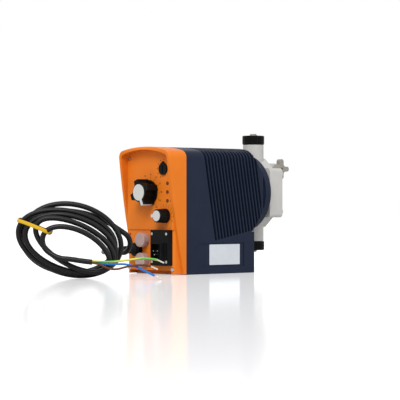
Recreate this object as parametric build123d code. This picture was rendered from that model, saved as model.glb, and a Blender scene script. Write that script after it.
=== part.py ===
"""Solenoid diaphragm metering pump with its fixed mains lead, in millimetres.

X runs to the right of someone who faces the control panel, Y runs from the panel back to the
dosing head, Z is up and the floor is Z = 0. Sizes along Y are counted from the lower panel face
while the pieces are drawn, and save() moves every piece so that the origin lies under the middle
of the pump.
"""

import os
from math import cos, pi, radians, sin, sqrt, tan

from build123d import *

# ---- casing -------------------------------------------------------------------------------
body_width = 105.0
body_height = 177.0
arch_drop = 7.7  # how far the arched top falls from its crown to the shoulders
shoulder_radius = 11.0
joint_y = 20.0  # where the front casing meets the rear casing
wall = 3.0
floor_gap = 0.8  # the front casing hangs this much above the floor

rim_wall = 4.15  # wall of the hood beside the panel
rim_foot_y = 15.5  # front edge of the hood at its foot
rim_mid = (2.9, 60.0)  # the edge bows through this point (Y, Z)
rim_tip = (-13.0, body_height - 12.0)  # front edge of the hood near its top (Y, Z)
rim_nose_radius = 6.0
panel_proud = 1.5  # the upper panel stands this much in front of the lower one
ledge_z = 62.0  # height of the step between the two panels
lower_corner_radius = 4.0
upper_corner_radius = 1.4
foot_width = 4.8
foot_height = 4.9
foot_depth = 12.0
front_floor = 9.0  # inside floor of the front casing

gasket_inset = 1.2
gasket_width = 1.6
gasket_height = 1.0

# ---- rear casing --------------------------------------------------------------------------
axis_z = 113.5  # the solenoid, the stroke knob and the diaphragm share this axis
flange_radius = 55.0
flange_back = 171.0
flange_face = 181.0
neck_radius = 51.5
neck_start = 168.0
taper_start = 126.0
taper_radius_start = 90.0
taper_radius_end = 59.0
base_end = 150.0
base_top = 58.0
fin_start = 62.4  # front face of the first gap at the height of the axis
fin_pitch = 6.0
fin_gap = 3.7
fin_count = 17
fin_depth = 9.0
fin_lean = 10.0  # degrees, tops towards the panel
fin_zone_end = 164.5
ledge_front = (73.0, 46.0)  # the fins end on a rising ledge through these (Y, Z)
ledge_back = (150.0, 60.5)
front_bay_end = 50.0  # the wide bay behind the panel ends here
front_bay_wall = 4.0
middle_bay_end = 100.0
rear_floor = 10.0

plate_recess = (35.5, 10.0, 130.0, 43.0)  # Y, Z, Y, Z of the shallow recess on the side
plate_recess_depth = 1.0
plate_recess_radius = 12.0
plate_box = (64.0, 12.5, 122.0, 41.0)
plate_thickness = 0.4

fixing_radius = 2.5
fixing_depth = 9.0
fixing_x = body_width / 2 - 14.5
fixing_front = 40.0
fixing_back = 136.0

# ---- screws that hold the casings ---------------------------------------------------------
half_width = body_width / 2
upper_screw = (half_width - 9.8, body_height - 15.6)  # X, Z
lower_screw = (half_width - 7.5, 7.3)
casing_shank_radius = 1.5
casing_head_radius = 2.6
casing_head_height = 1.6
casing_screw_reach = 38.0
boss_radius = 4.5
boss_web = 4.0
upper_sink = 1.7
lower_sink = 1.7

# ---- controls on the panel ----------------------------------------------------------------
knob_gap = 0.5
stroke_radius = 17.2  # thin round skirt of the stroke knob
stroke_skirt = 3.0
stroke_length = 19.5
stroke_core_radius = 13.4
stroke_lobes = 4
lobe_tip_radius = 18.6
lobe_width = 9.0
lobe_root_fillet = 4.0
lobe_tip_fillet = 1.6
stroke_pointer_angle = 157.0  # degrees clockwise from 12 o'clock
flute_radius = 3.2
flute_bite = 0.8
stroke_cap_radius = 11.25
cap_thickness = 1.2
cap_seat = 0.6  # how deep a cap sits in its knob
knob_edge_radius = 1.2
pointer_width = 4.2
pointer_height = 1.0

frequency_at = (half_width - 18.7, 81.3)
frequency_radius = 10.0
frequency_front_radius = 9.2
frequency_length = 16.5
frequency_flutes = 10
frequency_cap_radius = 7.35
frequency_shaft_radius = 3.0

dial_radius = 8.3
dial_height = 2.2
dial_nose = 2.4
dial_shaft_radius = 2.5
dial_slot_width = 2.0
dial_slot_depth = 0.9

led_x = half_width - 15.0
led_radius = 2.5
led_pitch = 12.0
led_centre_z = axis_z + 0.5
led_proud = 0.5
led_top = led_centre_z + led_pitch + led_radius
ceiling = body_height - arch_drop - rim_wall  # inside of the hood at its shoulders
dial_drop = 0.925  # how far the dial lies below the middle between the lamps and the ceiling
dial_at = (half_width - 22.8, (led_top + ceiling) / 2 - dial_drop)

panel_thickness = 3.0
blind_hole = (9.4 - half_width, ledge_z - 7.2)
blind_hole_radius = 2.2
blind_hole_depth = 2.5

# ---- terminals on the lower panel ---------------------------------------------------------
module_x = half_width - 24.3
module_z = 37.2
module_width = 35.6
module_height = 49.0
module_depth = 9.0
module_corner = 1.2
module_screw_dx = 15.0
module_screw_dz = 19.2
module_screw_radius = 1.9
socket_recess = (module_x - 16.0, module_z - 14.8, module_x + 2.2, module_z + 5.1)  # X, Z, X, Z
socket_recess_depth = 7.0
pin_offsets = ((-13.3, -4.5), (-5.0, -4.4), (-11.2, -9.5))  # from the middle of the module
pin_places = [(module_x + dx, module_z + dz) for dx, dz in pin_offsets]
pin_radius = 0.8
pin_length = 5.5
rib_count = 4
rib_start_x = module_x + 5.3
rib_pitch = 3.0
rib_width = 1.2
rib_proud = 0.7

socket_x = -12.0
socket_places = (47.7, 19.6)  # heights of the two round sockets
socket_radius = 7.4
socket_length = 8.0
socket_body_radius = 6.8
socket_body_depth = 12.0
cap_outer_radius = 10.0
cap_length = 10.0
cap_wall = 1.4
cap_edge_radius = 0.8

gland_at = (-26.5, 34.0)
gland_radius = 9.4
gland_length = 8.0
gland_thread_radius = 6.5
gland_flat_width = 12.0
gland_flat_height = 4.0
gland_flat_cut = 0.6
gland_nut_radius = 8.5
gland_nut_height = 4.0
relief_length = 22.0
relief_root_radius = 6.2
relief_tip_radius = 4.6

# ---- electronics --------------------------------------------------------------------------
board_y = 9.0
board_thickness = 1.6
board_half_width = half_width - 11.5
board_low = ledge_z + 5.0
board_high = body_height - 23.0
board_hole_radius = 8.0
standoff_radius = 3.0
standoff_x = (5.0 - board_half_width, 10.0)
standoff_z = (board_low + 6.0, board_high - 5.0)
standoff_places = [(x, z) for z in standoff_z for x in standoff_x]
board_screw_radius = 1.2
board_screw_head = 2.2
board_screw_head_height = 1.4
board_screw_reach = 5.0

# ---- solenoid and stroke mechanism --------------------------------------------------------
stroke = 1.25
yoke_radius = 38.0
yoke_wall = 4.0
yoke_start = 102.0
yoke_end = 164.0
yoke_plate = 5.0
pole_plate = 8.0
pole_boss = 2.5
pole_boss_radius = 12.4
bobbin_bore = 14.4
bobbin_wall = 1.4
bobbin_flange = 1.5
bobbin_clearance = 0.2
bush_thickness = 1.2
armature_radius = 13.0
armature_length = 35.2
air_gap = 0.3
rod_radius = 4.0
rod_clearance = 0.05
rod_grip = 7.0  # length of the rod inside the armature
spring_radius = 6.2
spring_wire = 0.5
spring_turns = 6
spring_room_radius = 7.6
spring_room_depth = 12.2
spindle_radius = 3.0
running_clearance = 0.05
contact_clearance = 0.05
spindle_bush_radius = 7.0
panel_bush_radius = 5.0

# ---- liquid end ---------------------------------------------------------------------------
head_disc_radius = 50.0
head_disc_thickness = 5.5
head_disc_recess = 2.2  # room for the fold of the diaphragm
head_bore = 22.0
diaphragm_radius = 34.0
diaphragm_rim = 2.4
diaphragm_hub_radius = 11.0
diaphragm_hub_length = 5.0
diaphragm_skin = 1.2
chamber_radius = 26.0
chamber_depth = 3.4
head_thickness = 26.5
head_chamfer = 1.2
ear_half_width = 45.0
ear_half_height = 35.5
ear_radius = 5.0
boss_root = 26.0  # half width of the trapezoid above and below the ears
boss_tip = 9.0
boss_half_height = 50.0
valve_offset = 10.1  # from the back of the head to the axis of the valves
column_radius = 15.0
column_half_height = 70.0
thread_radius = 12.4
thread_length = 5.0
valve_bore = 9.0
valve_bore_depth = 22.0
channel_radius = 2.5
cross_channel_radius = 2.2
channel_offset = 18.0
fit = 0.1  # clearance of pieces that drop into a bore

seat_height = 4.0
seat_bore = 3.2
ball_radius = 4.5
ball_lift = 1.2
cage_bore = 4.8
cage_roof = 1.5
cage_hole_radius = 1.1
cage_hole_circle = 2.9
ball_rest_gap = 0.04
nozzle_flange = 3.0
nozzle_spigot = 6.5
nozzle_bore = 2.6
nozzle_neck_radius = 6.2
nozzle_tip_radius = 4.4
nozzle_reach = 86.0  # from the axis to the tip
nut_radius = 16.0
nut_height = 13.0
nut_lip_bore = 6.5
nut_ribs = 24
o_ring_major = 10.7
o_ring_minor = 0.9

head_screw_dx = 36.0
head_screw_dz = 27.0
head_screw_radius = 2.5
head_screw_head = 4.25
head_screw_head_height = 5.0
head_screw_reach = 9.0  # depth of engagement in the flange

bleed_z = axis_z + 35.0
bleed_boss_radius = 8.5
bleed_offset = 40.0  # from the axis of the valves to the spindle of the bleed valve
bleed_channel_radius = 1.5
bleed_outlet_radius = 2.3  # from the needle to the nozzle, wider than the nozzle's bore
needle_radius = 3.0
needle_start = 1.0
needle_end = 15.0
needle_lift = 0.75
bleed_collar_radius = 6.5
bleed_collar_length = 2.0
star_start = 11.6
star_thickness = 7.5
star_radius = 14.5
star_hub_radius = 7.0
star_prongs = 4
star_prong_width = 7.4
star_hole_radius = 2.2
bleed_nozzle_radius = 3.6
bleed_nozzle_length = 14.0
bleed_nozzle_bore = 1.8

# ---- mains lead ---------------------------------------------------------------------------
cable_diameter = 7.0
core_diameter = 2.8
tinned_diameter = 2.0
coil_centre = (52.0, -177.0, 52.2)
coil_turn = -42.5  # degrees about Z from the Y axis
coil_half_length = 78.4
coil_half_height = 52.0
coil_hole_length = 39.8
coil_hole_height = 18.0
coil_hole_drop = 4.0
coil_thickness = 40.0
coil_chamfer = 8.0
tie_width = 6.0
tie_wall = 1.2
tie_room = 0.3
tie_angle = 22.0  # degrees above the left end of the hank


# ---- helpers ------------------------------------------------------------------------------
panel_half = half_width - rim_wall
pole_face = yoke_end - pole_plate - pole_boss
armature_front = pole_face - air_gap
armature_back = armature_front - armature_length
spindle_tip = armature_back - stroke - contact_clearance
diaphragm_y = flange_face + head_disc_thickness
head_back = diaphragm_y + diaphragm_rim
head_front = head_back + head_thickness
valve_y = head_back + valve_offset
bleed_spindle_y = valve_y + bleed_offset
bleed_boss_end = bleed_spindle_y + bleed_boss_radius - 0.5
star_end = star_start + star_thickness
cut_past = 20.0  # how far cutting bodies run past what they cut
rear_most = bleed_spindle_y + star_radius
knob_reach = panel_proud + knob_gap + stroke_length + cap_thickness - cap_seat
front_most = -max(knob_reach, gland_length + relief_length)
centre_y = (rear_most + front_most) / 2


def save(name, *shapes):
    """Writes one node, moved so that the origin lies under the middle of the pump."""
    solids = [Pos(0, -centre_y, 0) * solid for shape in shapes for solid in shape.solids()]
    export_step(solids[0] if len(solids) == 1 else Compound(children=solids), f"parts/{name}.step")


def along_y(face, start, end):
    """Extrudes a face drawn as (X, Z) from start to end along Y."""
    return extrude(Pos(0, end, 0) * (Plane.XZ * face), end - start)


def along_x(face, start, end):
    """Extrudes a face drawn as (Y, Z) from start to end along X."""
    return extrude(Pos(start, 0, 0) * (Plane.YZ * face), end - start)


def rod(radius, start, end, x=0.0, z=axis_z):
    """A cylinder along Y."""
    return Pos(x, (start + end) / 2, z) * Rot(90, 0, 0) * Cylinder(radius, end - start)


def ring(outer, inner, start, end, x=0.0, z=axis_z):
    """A tube along Y."""
    return rod(outer, start, end, x, z) - rod(inner, start - 1, end + 1, x, z)


def cone(radius_start, radius_end, start, end, x=0.0, z=axis_z):
    """A cone along Y, with one radius at its start and one at its end."""
    shape = Rot(-90, 0, 0) * Cone(radius_start, radius_end, end - start)
    return Pos(x, (start + end) / 2, z) * shape


def post(radius, low, high, x=0.0, y=valve_y):
    """A cylinder along Z."""
    return Pos(x, y, (low + high) / 2) * Cylinder(radius, high - low)


def pin(radius, start, end, y, z):
    """A cylinder along X."""
    return Pos((start + end) / 2, y, z) * Rot(0, 90, 0) * Cylinder(radius, end - start)


def block(x0, x1, y0, y1, z0, z1):
    """A box between two corners."""
    centre = Pos((x0 + x1) / 2, (y0 + y1) / 2, (z0 + z1) / 2)
    return centre * Box(x1 - x0, y1 - y0, z1 - z0)


def mirrored(x):
    """The two sides of the middle plane."""
    return (-x, x)


def body_outline(inset, low):
    """Outline of the casing as (X, Z): straight sides, rounded shoulders and an arched top."""
    half = half_width - inset
    crown = body_height - inset
    shoulder = crown - arch_drop
    sides = Polyline((-half, shoulder), (-half, low), (half, low), (half, shoulder))
    arch = ThreePointArc((half, shoulder), (0, crown), (-half, shoulder))
    face = make_face(sides + arch)
    return fillet(face.vertices().sort_by(Axis.Y)[-2:], max(shoulder_radius - inset, 2.0))


def frame_outline(outer_inset, inner_inset, low):
    """The band between two casing outlines."""
    inner = body_outline(inner_inset, low + inner_inset - outer_inset)
    return body_outline(outer_inset, low) - inner


def casing_screws():
    """Places of the four screws, with the panel face that each one enters."""
    upper = [(x, upper_screw[1], -panel_proud + upper_sink) for x in mirrored(upper_screw[0])]
    lower = [(x, lower_screw[1], lower_sink) for x in mirrored(lower_screw[0])]
    return upper + lower


# ---- casing -------------------------------------------------------------------------------
def hood():
    """The outer shell of the front casing, cut back along its bowed front edge."""
    top = body_height
    edge = ThreePointArc((rim_foot_y, floor_gap), rim_mid, rim_tip)
    lean = (rim_tip[0] - rim_mid[0]) / (rim_tip[1] - rim_mid[1])
    nose = (rim_tip[0] + lean * (top - rim_tip[1]), top)
    rest = Polyline(rim_tip, nose, (joint_y, top), (joint_y, floor_gap), (rim_foot_y, floor_gap))
    profile = make_face(edge + rest)
    profile = fillet(profile.vertices().sort_by_distance((nose[0], nose[1], 0))[:1], rim_nose_radius)
    shell = along_y(body_outline(0, floor_gap), nose[0] - 1, joint_y)
    return shell & along_x(profile, -half_width - 1, half_width + 1)


def panel_block(front, corner, low, high):
    """A panel with rounded upright corners, from low to high."""
    depth = joint_y - front
    plan = Pos(0, front + depth / 2) * Rectangle(2 * panel_half, depth)
    plan = fillet(plan.vertices().sort_by(Axis.Y)[:2], corner)
    return extrude(Pos(0, 0, low) * plan, high - low)


def front_housing():
    """Orange hood and panel in one moulding."""
    nose = rim_tip[0] - 5
    inside = body_outline(rim_wall, floor_gap)
    shape = hood() - along_y(inside, nose, 0)
    panels = panel_block(0, lower_corner_radius, floor_gap, ledge_z)
    panels += panel_block(-panel_proud, upper_corner_radius, ledge_z, body_height)
    shape += panels & along_y(inside, nose, joint_y)
    hollow = body_outline(rim_wall + wall - 0.5, front_floor)
    shape -= along_y(hollow, panel_thickness, joint_y + 1)
    arch_half = panel_half - foot_width
    shape -= block(-arch_half, arch_half, -5, foot_depth, 0, floor_gap + foot_height)
    for x, z in standoff_places:
        shape += ring(standoff_radius, board_screw_radius, panel_thickness - 0.5, board_y, x, z)
    for x in mirrored(upper_screw[0]):
        shape += rod(boss_radius, panel_thickness - 0.5, joint_y, x, upper_screw[1])
    for x, z, seat in casing_screws():
        shape -= rod(casing_shank_radius + fit, -5, joint_y + 1, x, z)
        shape -= rod(casing_head_radius + 0.6, -5, seat, x, z)
    shape -= rod(panel_bush_radius, -5, panel_thickness)
    shape -= rod(frequency_shaft_radius + 0.6, -5, panel_thickness, *frequency_at)
    shape -= rod(dial_shaft_radius + 0.3, -5, panel_thickness, *dial_at)
    for k in (-1, 0, 1):
        shape -= rod(led_radius + fit, -5, panel_thickness, led_x, led_centre_z + k * led_pitch)
    for z in socket_places:
        shape -= rod(socket_body_radius + fit, -1, panel_thickness, socket_x, z)
    shape -= rod(gland_thread_radius + fit, -1, panel_thickness, *gland_at)
    shape -= rod(blind_hole_radius, -1, blind_hole_depth, *blind_hole)
    for dx in mirrored(module_screw_dx):
        for dz in mirrored(module_screw_dz):
            shape -= rod(board_screw_radius, -1, panel_thickness, module_x + dx, module_z + dz)
    return shape


def taper():
    """A bullet round the axis that trims the rear of the casing down to the flange."""
    profile = Polyline(
        (0, joint_y - 1),
        (taper_radius_start, joint_y - 1),
        (taper_radius_start, taper_start),
        (taper_radius_end, neck_start),
        (0, neck_start),
        (0, joint_y - 1),
    )
    return Pos(0, 0, axis_z) * revolve(make_face(profile), Axis.Y)


def fin_cutters():
    """Leaning gaps between the cooling fins, cut down to the core of the casing."""
    slope = (ledge_back[1] - ledge_front[1]) / (ledge_back[0] - ledge_front[0])
    front = fin_start - fin_pitch * 5
    low_front = ledge_front[1] + slope * (front - ledge_front[0])
    low_back = ledge_front[1] + slope * (fin_zone_end - ledge_front[0])
    top = body_height + 5
    zone = Polyline(
        (front, low_front), (fin_zone_end, low_back), (fin_zone_end, top), (front, top), (front, low_front)
    )
    shell = along_x(make_face(zone), -half_width - 5, half_width + 5)
    shell -= along_y(body_outline(fin_depth, -cut_past), front - 5, fin_zone_end + 5)
    cuts = []
    for k in range(fin_count):
        middle = fin_start + fin_gap / 2 + k * fin_pitch
        slab = Rot(fin_lean, 0, 0) * Box(body_width + cut_past, fin_gap, 2 * body_height)
        cuts.append(shell & (Pos(0, middle, axis_z) * slab))
    return cuts


def rear_housing():
    """Finned casing with the round flange that carries the liquid end."""
    shape = along_y(body_outline(0, 0), joint_y, neck_start) & taper()
    shape += block(-half_width, half_width, joint_y, base_end, 0, base_top)
    shape = shape - fin_cutters()
    shape += rod(neck_radius, neck_start - 2, flange_back) + rod(flange_radius, flange_back, flange_face)
    shape -= along_y(body_outline(front_bay_wall, rear_floor), joint_y - 1, front_bay_end)
    shape -= along_y(body_outline(fin_depth + wall, rear_floor), joint_y - 1, middle_bay_end)
    shape -= rod(yoke_radius + fit, middle_bay_end - 1, yoke_end)
    shape -= rod(head_bore, yoke_end - 1, flange_face + 1)
    for x, z in [(x, place[1]) for place in (upper_screw, lower_screw) for x in mirrored(place[0])]:
        shape += rod(boss_radius, joint_y, casing_screw_reach + 3, x, z) & along_y(
            body_outline(0.5, 0.5), joint_y, front_bay_end
        )
        shape -= rod(casing_shank_radius + fit, joint_y - 1, casing_screw_reach + 0.5, x, z)
    for side in (-1, 1):
        x0, x1 = sorted((side * (upper_screw[0] + boss_radius - 1), side * (half_width - wall)))
        z0 = upper_screw[1] - boss_web / 2
        shape += block(x0, x1, joint_y + gasket_height, casing_screw_reach + 3, z0, z0 + boss_web)
    band = frame_outline(gasket_inset, gasket_inset + gasket_width, gasket_inset)
    shape -= along_y(band, joint_y - 1, joint_y + gasket_height)
    y0, z0, y1, z1 = plate_recess
    recess = Pos((y0 + y1) / 2, (z0 + z1) / 2) * Rectangle(y1 - y0, z1 - z0)
    recess = fillet(recess.vertices().sort_by(Axis.X)[:2], plate_recess_radius)
    shape -= along_x(recess, half_width - plate_recess_depth, half_width + 1)
    for x in mirrored(fixing_x):
        for y in (fixing_front, fixing_back):
            shape -= post(fixing_radius, -1, fixing_depth, x, y)
    for x in mirrored(head_screw_dx):
        for z in mirrored(head_screw_dz):
            start = flange_face - head_screw_reach - 0.5
            shape -= rod(head_screw_radius + fit, start, flange_face + 1, x, axis_z + z)
    return shape


def housing_gasket():
    """Flat rubber frame in its groove between the casings."""
    room = 0.05
    band = frame_outline(gasket_inset + room, gasket_inset + gasket_width - room, gasket_inset + room)
    return along_y(band, joint_y, joint_y + gasket_height)


def screw(seat, tip, shank, head, height, x, z):
    """A pan-head screw along Y with a cross slot, its head standing in front of the seat."""
    shape = rod(shank, seat, tip, x, z) + rod(head, seat - height, seat, x, z)
    slot = 0.35 * head
    for turn in (0, 90):
        arm = Box(1.4 * head, height, slot)
        shape -= Pos(x, seat - height, z) * Rot(0, turn, 0) * arm
    return shape


def housing_screws():
    """Four screws from the panel into the rear casing."""
    return [
        screw(seat, casing_screw_reach, casing_shank_radius, casing_head_radius, casing_head_height, x, z)
        for x, z, seat in casing_screws()
    ]


def rating_plate():
    """Thin bare plate in the side recess."""
    y0, z0, y1, z1 = plate_box
    face = Pos((y0 + y1) / 2, (z0 + z1) / 2) * RectangleRounded(y1 - y0, z1 - z0, 1.0)
    base = half_width - plate_recess_depth
    return along_x(face, base, base + plate_thickness)


# ---- knobs --------------------------------------------------------------------------------
def knob(at, base_radius, front_radius, length, flutes, bite, shaft, cap_radius, pointer_angle):
    """A fluted knob and its cap. The pointer angle is clockwise from 12 o'clock, in degrees."""
    x, z = at
    back = -panel_proud - knob_gap
    front = back - length
    shape = cone(front_radius, base_radius, front, back, x, z)
    shape = fillet(shape.edges().sort_by(Axis.Y)[0], knob_edge_radius)
    reach = base_radius + flute_radius - bite
    for k in range(flutes):
        angle = radians(360 / flutes * (k + 0.5))
        shape -= rod(flute_radius, front - 1, back - 2.2, x + reach * sin(angle), z + reach * cos(angle))
    shape -= rod(shaft, front + 4, back + 1, x, z)
    disc = rod(cap_radius, front - cap_thickness + cap_seat, front + cap_seat, x, z)
    arm_length = base_radius - cap_radius + 3
    middle = cap_radius - 3 + arm_length / 2
    top_bar = Pos(0, front - cap_thickness / 2 + cap_seat, middle) * Box(
        pointer_width, cap_thickness, arm_length
    )
    side_bar = Pos(0, (front + back) / 2 - 0.4, base_radius - pointer_height / 2 + 0.3) * Box(
        pointer_width, length, pointer_height + 1.6
    )
    hand = Pos(x, 0, z) * Rot(0, pointer_angle, 0) * (top_bar + side_bar)
    cap = disc + hand
    body = shape - cap
    return body.solids().sort_by(SortBy.VOLUME)[-1], cap


def stroke_knob():
    """Lobed grip on a round skirt, and its cap with the pointer down one lobe."""
    back = -panel_proud - knob_gap
    front = back - stroke_length
    lobe = Pos(0, lobe_tip_radius / 2) * Rectangle(lobe_width, lobe_tip_radius)
    grip = Circle(stroke_core_radius)
    for k in range(stroke_lobes):
        grip += Rot(0, 0, 360 / stroke_lobes * k) * lobe
    middle = (stroke_core_radius + lobe_tip_radius) / 2
    roots = [v for v in grip.vertices() if v.center().length < middle]
    grip = fillet(roots, lobe_root_fillet)
    tips = [v for v in grip.vertices() if v.center().length > lobe_tip_radius - 0.5]
    grip = fillet(tips, lobe_tip_fillet)
    body = along_y(grip, front, back)
    body = fillet(body.edges().group_by(Axis.Y)[0], knob_edge_radius)
    body += rod(stroke_radius, back - stroke_skirt, back, 0, 0)
    body -= rod(spindle_radius + running_clearance, front + 4, back + 1, 0, 0)
    top = front - cap_thickness + cap_seat
    reach = lobe_tip_radius + pointer_height / 2
    cap = rod(stroke_cap_radius, top, front + cap_seat, 0, 0)
    plate = along_y(Pos(0, reach / 2) * Rectangle(pointer_width, reach), top, front + cap_seat)
    side = along_y(
        Pos(0, lobe_tip_radius) * Rectangle(pointer_width, pointer_height), top, back - stroke_skirt
    )
    cap += plate + side
    place = Pos(0, 0, axis_z) * Rot(0, stroke_pointer_angle, 0)
    return place * (body - cap), place * cap


def mode_dial():
    """Flat rotary selector with a pointer nose and a driver slot, on its own shaft."""
    x, z = dial_at
    back = -panel_proud - 0.3
    front = back - dial_height
    disc = rod(dial_radius, front, back, x, z)
    half = dial_radius * sin(radians(40))
    root = dial_radius * cos(radians(40))
    tip = dial_radius + dial_nose
    nose = Polyline((x - half, z + root), (x, z + tip), (x + half, z + root), (x - half, z + root))
    disc += along_y(make_face(nose), front, back)
    disc -= block(
        x - dial_slot_width / 2, x + dial_slot_width / 2, front - 1, front + dial_slot_depth,
        z - 0.62 * dial_radius, z + 0.62 * dial_radius,
    )
    return disc + rod(dial_shaft_radius, back, board_y - 0.5, x, z)


# ---- terminals ----------------------------------------------------------------------------
def relay_module():
    """Black terminal block with its square socket, ribs and four screw seats."""
    face = Pos(module_x, module_z) * RectangleRounded(module_width, module_height, module_corner)
    shape = along_y(face, -module_depth, 0)
    x0, z0, x1, z1 = socket_recess
    shape -= block(x0, x1, -module_depth - 1, -module_depth + socket_recess_depth, z0, z1)
    for k in range(rib_count):
        x = rib_start_x + k * rib_pitch
        shape += block(x, x + rib_width, -module_depth - rib_proud, -module_depth, z0 - 2, z1 + 2)
    for x, z in module_screw_places():
        shape -= rod(board_screw_radius, -module_depth - 1, 1, x, z)
        shape -= rod(module_screw_radius + 0.4, -module_depth - 1, -module_depth + 1.0, x, z)
    return shape


def module_screw_places():
    """Corners where the module is screwed to the panel."""
    return [
        (module_x + dx, module_z + dz)
        for dx in mirrored(module_screw_dx)
        for dz in mirrored(module_screw_dz)
    ]


def socket(z):
    """Round connector behind a cap: a barrel in front of the panel and a body behind it."""
    barrel = ring(socket_radius, socket_radius - 1.5, -socket_length, -1.0, socket_x, z)
    core = rod(socket_radius - 3.0, -socket_length + 1.5, -1.0, socket_x, z)
    collar = rod(socket_radius, -1.0, 0, socket_x, z)
    return barrel + core + collar + rod(socket_body_radius, 0, socket_body_depth, socket_x, z)


def socket_cap(z):
    """Translucent push-on cup over a socket."""
    cup = rod(cap_outer_radius, -cap_length, 0, socket_x, z)
    cup = fillet(cup.edges().sort_by(Axis.Y)[0], cap_edge_radius)
    return cup - rod(socket_radius + fit, -cap_length + cap_wall, 1, socket_x, z)


def cable_gland():
    """Gland body with its thread through the panel."""
    x, z = gland_at
    shape = rod(gland_radius, -gland_length, 0, x, z)
    shape = chamfer(shape.edges().sort_by(Axis.Y)[0], 1.2)
    for k in range(6):
        flat = Box(gland_flat_width, 0.45 * gland_length, gland_flat_height)
        flat = Pos(0, -0.3 * gland_length, gland_radius + gland_flat_height / 2 - gland_flat_cut) * flat
        shape -= Pos(x, 0, z) * Rot(0, 60 * k, 0) * flat
    shape += rod(gland_thread_radius, 0, panel_thickness + gland_nut_height + 1, x, z)
    return shape - rod(cable_diameter / 2, -gland_length - 1, joint_y, x, z)


def gland_nut():
    """Hexagon nut behind the panel."""
    x, z = gland_at
    hexagon = Pos(x, z) * RegularPolygon(gland_nut_radius, 6)
    nut = along_y(hexagon, panel_thickness, panel_thickness + gland_nut_height)
    return nut - rod(gland_thread_radius + fit, 0, joint_y, x, z)


def strain_relief():
    """Ribbed tapered sleeve where the mains lead leaves the gland."""
    x, z = gland_at
    start = -gland_length - relief_length
    shape = cone(relief_tip_radius, relief_root_radius, start, -gland_length, x, z)
    for k in range(5):
        y = start + relief_length * (k + 1) / 6.5
        outer = relief_tip_radius + (relief_root_radius - relief_tip_radius) * (y - start) / relief_length
        shape -= ring(outer + 2, outer - 0.7, y, y + 1.6, x, z)
    return shape - rod(cable_diameter / 2, start - 1, 0, x, z)


# ---- solenoid -----------------------------------------------------------------------------
def solenoid_parts():
    """Yoke, pole, bobbin, winding, bushes, armature, rod, spring and adjusting spindle."""
    inner = yoke_radius - yoke_wall
    yoke = ring(yoke_radius, inner, yoke_start, yoke_end)
    yoke += ring(inner + 1, spindle_bush_radius, yoke_start, yoke_start + yoke_plate)
    bush_outer = rod_radius + 2.0
    pole = ring(inner - fit, bush_outer, yoke_end - pole_plate, yoke_end)
    pole += ring(pole_boss_radius, bush_outer, pole_face, yoke_end - pole_plate)
    low = yoke_start + yoke_plate + bobbin_clearance
    high = yoke_end - pole_plate - bobbin_clearance
    sleeve = bobbin_bore + bobbin_wall
    bobbin = ring(sleeve, bobbin_bore, low, high)
    bobbin += ring(inner - 0.3, bobbin_bore, low, low + bobbin_flange)
    bobbin += ring(inner - 0.3, bobbin_bore, high - bobbin_flange, high)
    winding = ring(inner - 2, sleeve + fit, low + bobbin_flange + fit, high - bobbin_flange - fit)
    guide = armature_radius + rod_clearance
    armature_bush = ring(bobbin_bore - 0.02, guide, armature_back - 3, armature_front - 4)
    rod_bush = ring(bush_outer - 0.02, rod_radius + rod_clearance, pole_face + 1, yoke_end)
    armature = rod(armature_radius, armature_back, armature_front)
    rod_start = armature_front - spring_room_depth - rod_grip
    armature -= rod(spring_room_radius, armature_front - spring_room_depth, armature_front + 1)
    armature -= rod(rod_radius + 0.02, rod_start, armature_front + 1)
    push_rod = rod(rod_radius, rod_start, diaphragm_y + 1.5)
    spring_length = spring_room_depth + air_gap - 2 * spring_wire - 0.2
    path = Helix(spring_length / spring_turns, spring_length, spring_radius)
    wire = sweep(Plane(origin=path @ 0, z_dir=path % 0) * Circle(spring_wire), path)
    start = armature_front - spring_room_depth + spring_wire + 0.1
    spring = Pos(0, start, axis_z) * Rot(-90, 0, 0) * wire
    spindle_bush = ring(
        spindle_bush_radius - 0.02, spindle_radius + running_clearance,
        yoke_start - 2, yoke_start + yoke_plate,
    )
    knob_front = -panel_proud - knob_gap - stroke_length
    spindle = rod(spindle_radius, knob_front + 5.5, spindle_tip)
    panel_bush = ring(
        panel_bush_radius - 0.02, spindle_radius + running_clearance, -panel_proud, panel_thickness + 3
    )
    return {
        "solenoid_yoke": yoke,
        "pole_piece": pole,
        "coil_bobbin": bobbin,
        "coil_winding": winding,
        "armature_bush": armature_bush,
        "push_rod_bush": rod_bush,
        "armature": armature,
        "push_rod": push_rod,
        "return_spring": spring,
        "spindle_bush": spindle_bush,
        "stroke_spindle": spindle,
        "panel_bush": panel_bush,
    }


# ---- liquid end ---------------------------------------------------------------------------
def head_screw_places():
    """Corners of the dosing head."""
    return [(x, axis_z + z) for x in mirrored(head_screw_dx) for z in mirrored(head_screw_dz)]


def head_disc():
    """Round plate between the flange and the diaphragm."""
    shape = ring(head_disc_radius, diaphragm_hub_radius + 3, flange_face, diaphragm_y)
    shape -= rod(chamber_radius, diaphragm_y - head_disc_recess, diaphragm_y + 1)
    for x, z in head_screw_places():
        shape -= rod(head_screw_radius + fit, flange_face - 1, diaphragm_y + 1, x, z)
    return shape


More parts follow.
